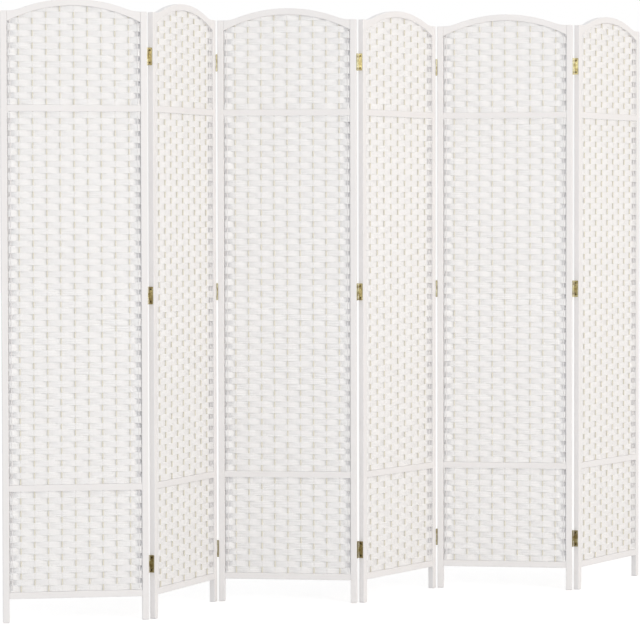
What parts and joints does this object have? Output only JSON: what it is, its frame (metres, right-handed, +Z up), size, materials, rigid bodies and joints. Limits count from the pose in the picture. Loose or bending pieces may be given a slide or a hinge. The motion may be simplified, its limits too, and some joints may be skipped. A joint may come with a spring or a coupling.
{
  "type": "folding screen",
  "caption": "Free-standing folding screen of arched wooden frames filled with woven paper cord, hinged edge to edge.",
  "frame": {"origin": "the middle of the row of panels in plan, on the floor", "axes": "+X from the first panel to the last, with the two free ends of the row in line along X; +Y from the front to the back; +Z up"},
  "size_m": [2.1088, 0.3174, 1.7],
  "materials": {
    "frame_paint": "satin",
    "paper_cord": "matte",
    "bamboo": "matte",
    "brass": "gloss",
    "screw_steel": "satin"
  },
  "bodies": {
    "panel_1": {"left_stile_1": "frame_paint", "right_stile_1": "frame_paint", "top_rail_1": "frame_paint", "bottom_rail_1": "frame_paint", "cross_rails_1": "frame_paint", "stakes_1": "bamboo", "weave_1": "paper_cord", "hinge_leaves_1": "brass", "hinge_screws_1": "screw_steel", "hinge_pins_1": "brass"},
    "panel_2": {"left_stile_2": "frame_paint", "right_stile_2": "frame_paint", "top_rail_2": "frame_paint", "bottom_rail_2": "frame_paint", "cross_rails_2": "frame_paint", "stakes_2": "bamboo", "weave_2": "paper_cord", "hinge_leaves_2": "brass", "hinge_screws_2": "screw_steel", "hinge_pins_2": "brass"},
    "panel_3": {"left_stile_3": "frame_paint", "right_stile_3": "frame_paint", "top_rail_3": "frame_paint", "bottom_rail_3": "frame_paint", "cross_rails_3": "frame_paint", "stakes_3": "bamboo", "weave_3": "paper_cord", "hinge_leaves_3": "brass", "hinge_screws_3": "screw_steel", "hinge_pins_3": "brass"},
    "panel_4": {"left_stile_4": "frame_paint", "right_stile_4": "frame_paint", "top_rail_4": "frame_paint", "bottom_rail_4": "frame_paint", "cross_rails_4": "frame_paint", "stakes_4": "bamboo", "weave_4": "paper_cord", "hinge_leaves_4": "brass", "hinge_screws_4": "screw_steel", "hinge_pins_4": "brass"},
    "panel_5": {"left_stile_5": "frame_paint", "right_stile_5": "frame_paint", "top_rail_5": "frame_paint", "bottom_rail_5": "frame_paint", "cross_rails_5": "frame_paint", "stakes_5": "bamboo", "weave_5": "paper_cord", "hinge_leaves_5": "brass", "hinge_screws_5": "screw_steel", "hinge_pins_5": "brass"},
    "panel_6": {"left_stile_6": "frame_paint", "right_stile_6": "frame_paint", "top_rail_6": "frame_paint", "bottom_rail_6": "frame_paint", "cross_rails_6": "frame_paint", "stakes_6": "bamboo", "weave_6": "paper_cord", "hinge_leaves_6": "brass", "hinge_screws_6": "screw_steel"}
  },
  "joints": [
    {"name": "fold_1_2", "type": "hinge", "parent": "panel_1", "child": "panel_2", "pos_m": [-0.66989, -0.08499, 0.891], "axis": [0, 0, 1], "range_deg": [-57, 123]},
    {"name": "fold_2_3", "type": "hinge", "parent": "panel_2", "child": "panel_3", "pos_m": [-0.33806, 0.14624, 0.891], "axis": [0, 0, -1], "range_deg": [-74, 106]},
    {"name": "fold_3_4", "type": "hinge", "parent": "panel_3", "child": "panel_4", "pos_m": [-0.00175, -0.07843, 0.891], "axis": [0, 0, 1], "range_deg": [-64, 116]},
    {"name": "fold_4_5", "type": "hinge", "parent": "panel_4", "child": "panel_5", "pos_m": [0.36519, 0.09167, 0.891], "axis": [0, 0, -1], "range_deg": [-66, 114]},
    {"name": "fold_5_6", "type": "hinge", "parent": "panel_5", "child": "panel_6", "pos_m": [0.69345, -0.14459, 0.891], "axis": [0, 0, 1], "range_deg": [-67, 113]}
  ]
}
